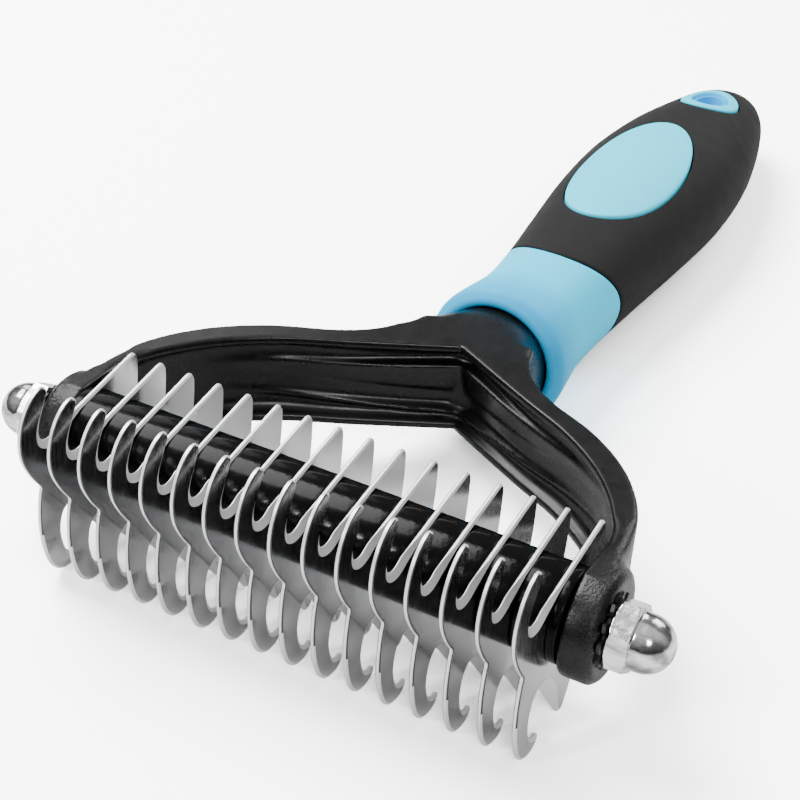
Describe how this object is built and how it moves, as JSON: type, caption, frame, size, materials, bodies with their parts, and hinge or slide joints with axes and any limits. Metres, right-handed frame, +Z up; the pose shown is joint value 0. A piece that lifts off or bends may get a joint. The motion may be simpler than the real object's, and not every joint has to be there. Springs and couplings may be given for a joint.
{
  "type": "undercoat rake",
  "caption": "Two-sided undercoat rake: hooked steel blades on an axle in a black cast yoke, and a dark soft-grip handle with blue collar, thumb pad and hanging hole.",
  "frame": {"origin": "bottom centre of the rake's box, level with the lowest points of the hooks", "axes": "+Y from the blades towards the end of the handle, +X along the axle towards the right nut, +Z up, thumb pad on top"},
  "size_m": [0.1038, 0.1828, 0.0328],
  "materials": {
    "cast_black": "glossy black paint on a casting",
    "plain_steel": "plain bright steel",
    "polished_steel": "mirror polished",
    "nut_chrome": "bright plated",
    "washer_black": "blackened steel",
    "spacer_black": "glossy black",
    "grip_grey": "flat dark grey soft grip",
    "core_grey": "hidden core",
    "sky_blue": "satin sky blue",
    "deep_blue": "satin deep blue"
  },
  "bodies": {
    "rake": {"yoke": "cast_black", "axle_rod": "plain_steel", "handle_core": "core_grey", "tang_pin": "plain_steel", "grip": "grip_grey", "collar": "sky_blue", "thumb_pad": "sky_blue", "hang_ring": "sky_blue", "hang_bush": "deep_blue", "blade_01": "polished_steel", "spacer_01": "spacer_black", "blade_02": "polished_steel", "spacer_02": "spacer_black", "blade_03": "polished_steel", "spacer_03": "spacer_black", "blade_04": "polished_steel", "spacer_04": "spacer_black", "blade_05": "polished_steel", "spacer_05": "spacer_black", "blade_06": "polished_steel", "spacer_06": "spacer_black", "blade_07": "polished_steel", "spacer_07": "spacer_black", "blade_08": "polished_steel", "spacer_08": "spacer_black", "blade_09": "polished_steel", "spacer_09": "spacer_black", "blade_10": "polished_steel", "spacer_10": "spacer_black", "blade_11": "polished_steel", "spacer_11": "spacer_black", "blade_12": "polished_steel", "spacer_12": "spacer_black", "blade_13": "polished_steel", "spacer_13": "spacer_black", "blade_14": "polished_steel", "spacer_14": "spacer_black", "blade_15": "polished_steel", "spacer_15": "spacer_black", "blade_16": "polished_steel", "end_spacer_left": "spacer_black", "end_spacer_right": "spacer_black"},
    "left_washer": {"lock_washer_left": "washer_black"},
    "right_washer": {"lock_washer_right": "washer_black"},
    "left_nut": {"cap_nut_left": "nut_chrome"},
    "right_nut": {"cap_nut_right": "nut_chrome"}
  },
  "joints": [
    {"name": "left_washer_slide", "type": "slide", "parent": "rake", "child": "left_washer", "axis": [-1, 0, 0], "range_m": [0, 0.0036]},
    {"name": "left_nut_turn", "type": "hinge", "parent": "left_washer", "child": "left_nut", "pos_m": [-0.04404, -0.07512, 0.01904], "axis": [-1, 0, 0], "range_deg": [0, 1620]},
    {"name": "right_washer_slide", "type": "slide", "parent": "rake", "child": "right_washer", "axis": [1, 0, 0], "range_m": [0, 0.0036]},
    {"name": "right_nut_turn", "type": "hinge", "parent": "right_washer", "child": "right_nut", "pos_m": [0.04404, -0.07512, 0.01904], "axis": [1, 0, 0], "range_deg": [0, 1620]}
  ],
  "couplings": [
    {"joint": "left_nut_turn", "follows": "left_washer_slide", "rad_per_m": 7854},
    {"joint": "right_nut_turn", "follows": "right_washer_slide", "rad_per_m": 7854}
  ]
}
